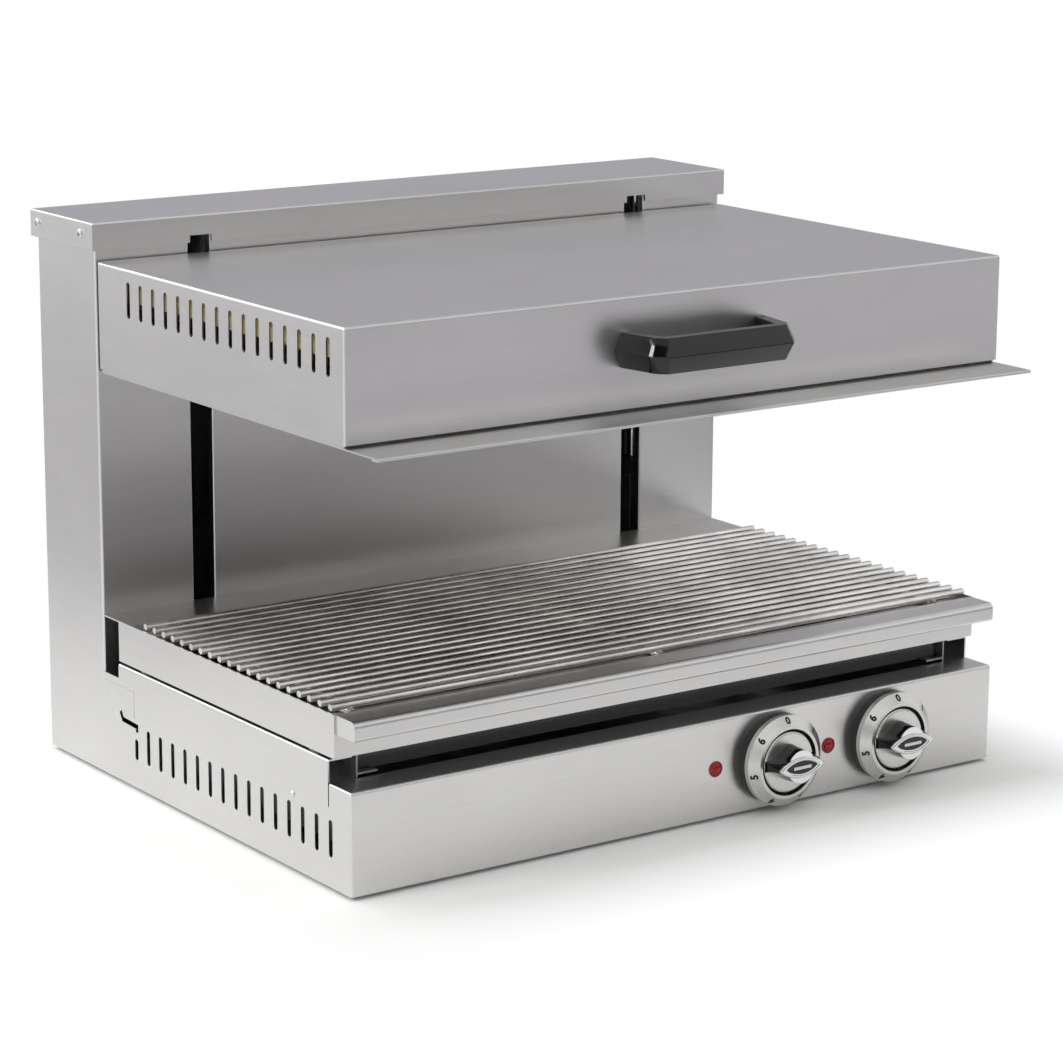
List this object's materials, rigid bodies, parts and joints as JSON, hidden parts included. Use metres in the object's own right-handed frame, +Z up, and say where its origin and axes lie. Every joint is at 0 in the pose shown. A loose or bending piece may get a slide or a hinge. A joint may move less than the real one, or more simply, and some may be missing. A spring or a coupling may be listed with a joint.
{
  "type": "cheese melter",
  "caption": "Counter-top electric cheese melter: a heated hood with a handle slides up and down a rear column above a wire grid; two control knobs and pilot lamps on the base.",
  "frame": {"origin": "centre of the bounding box in plan, on the surface that the rubber feet stand on", "axes": "+Z up, +X to the right seen from the front, +Y towards the column at the back"},
  "size_m": [0.6096, 0.5134, 0.4357],
  "materials": {
    "satin_steel": "satin brushed",
    "galvanised": "plain galvanised",
    "bright_wire": "bright drawn wire",
    "bright_fastener": "polished",
    "ground_rod": "ground",
    "reflector_steel": "bright rolled",
    "crumb_enamel": "vitreous enamel",
    "heater_sheath": "heat-dulled",
    "ceramic": "glazed ceramic",
    "mineral_wool": "fibrous",
    "black_bakelite": "moulded gloss",
    "dial_aluminium": "satin turned",
    "knob_chrome": "mirror plated",
    "lamp_red": "clear red lens",
    "moulded_nylon": "moulded",
    "gland_nylon": "moulded",
    "rubber_black": "moulded",
    "sheave_nylon": "moulded",
    "bush_bronze": "sintered",
    "wire_rope": "stranded",
    "weight_iron": "painted"
  },
  "bodies": {
    "base": {"rubber_feet": "rubber_black", "base_floor": "galvanised", "base_shell": "satin_steel", "panel_pins": "bright_fastener", "grid_tray": "satin_steel", "tray_spacers": "galvanised", "left_tray_runner": "galvanised", "right_tray_runner": "galvanised", "column_shell": "satin_steel", "column_cap": "satin_steel", "cap_screws": "bright_fastener", "rear_cover": "satin_steel", "rear_cover_screws": "bright_fastener", "cable_gland": "gland_nylon", "lower_rod_bracket": "galvanised", "upper_rod_bracket": "galvanised", "left_guide_rod": "ground_rod", "right_guide_rod": "ground_rod", "rod_buffers": "rubber_black", "left_pulley_bracket": "galvanised", "right_pulley_bracket": "galvanised", "cable_wraps": "wire_rope", "left_dial_base": "black_bakelite", "right_dial_base": "black_bakelite", "left_dial_ring": "dial_aluminium", "right_dial_ring": "dial_aluminium", "left_regulator": "moulded_nylon", "right_regulator": "moulded_nylon", "pilot_lamp_lenses": "lamp_red", "pilot_lamp_bodies": "moulded_nylon", "terminal_block": "moulded_nylon"},
    "hood": {"hood_cover": "satin_steel", "hood_back_plate": "satin_steel", "element_frame": "satin_steel", "reflector": "reflector_steel", "left_heating_element": "heater_sheath", "right_heating_element": "heater_sheath", "element_supports": "galvanised", "element_terminals": "ceramic", "insulation_blanket": "mineral_wool", "left_lift_arm": "galvanised", "right_lift_arm": "galvanised", "lift_crossbar": "galvanised", "guide_bushes": "bush_bronze", "hood_cables": "wire_rope", "handle": "black_bakelite", "handle_screws": "bright_fastener"},
    "counterweight": {"counterweight": "weight_iron", "weight_cables": "wire_rope"},
    "left_pulley": {"left_pulley": "sheave_nylon"},
    "right_pulley": {"right_pulley": "sheave_nylon"},
    "left_knob": {"left_knob_disc": "dial_aluminium", "left_knob_grip": "black_bakelite", "left_knob_trim": "knob_chrome"},
    "right_knob": {"right_knob_disc": "dial_aluminium", "right_knob_grip": "black_bakelite", "right_knob_trim": "knob_chrome"},
    "wire_grid": {"wire_grid": "bright_wire"},
    "crumb_tray": {"crumb_tray": "crumb_enamel", "crumb_tray_wall": "crumb_enamel"}
  },
  "joints": [
    {"name": "hood_lift", "type": "slide", "parent": "base", "child": "hood", "axis": [0, 0, 1], "range_m": [-0.145, 0], "deforming": ["hood_cables"]},
    {"name": "counterweight_travel", "type": "slide", "parent": "base", "child": "counterweight", "axis": [0, 0, 1], "range_m": [0, 0.145], "deforming": ["weight_cables"]},
    {"name": "left_pulley_spin", "type": "hinge", "parent": "base", "child": "left_pulley", "pos_m": [-0.15, 0.19145, 0.3997], "axis": [1, 0, 0], "range_deg": [0, 416]},
    {"name": "right_pulley_spin", "type": "hinge", "parent": "base", "child": "right_pulley", "pos_m": [0.15, 0.19145, 0.3997], "axis": [1, 0, 0], "range_deg": [0, 416]},
    {"name": "left_knob_turn", "type": "hinge", "parent": "base", "child": "left_knob", "pos_m": [0.08, -0.21675, 0.041], "axis": [0, 1, 0], "range_deg": [-90, 219]},
    {"name": "right_knob_turn", "type": "hinge", "parent": "base", "child": "right_knob", "pos_m": [0.19, -0.21675, 0.041], "axis": [0, 1, 0], "range_deg": [-90, 219]},
    {"name": "grid_lift", "type": "slide", "parent": "base", "child": "wire_grid", "axis": [0, 0, 1], "range_m": [0, 0.03]},
    {"name": "crumb_tray_pull", "type": "slide", "parent": "base", "child": "crumb_tray", "axis": [0, -1, 0], "range_m": [0, 0.28]}
  ],
  "couplings": [
    {"joint": "counterweight_travel", "follows": "hood_lift", "ratio": -1},
    {"joint": "left_pulley_spin", "follows": "hood_lift", "rad_per_m": -50},
    {"joint": "right_pulley_spin", "follows": "hood_lift", "rad_per_m": -50}
  ]
}
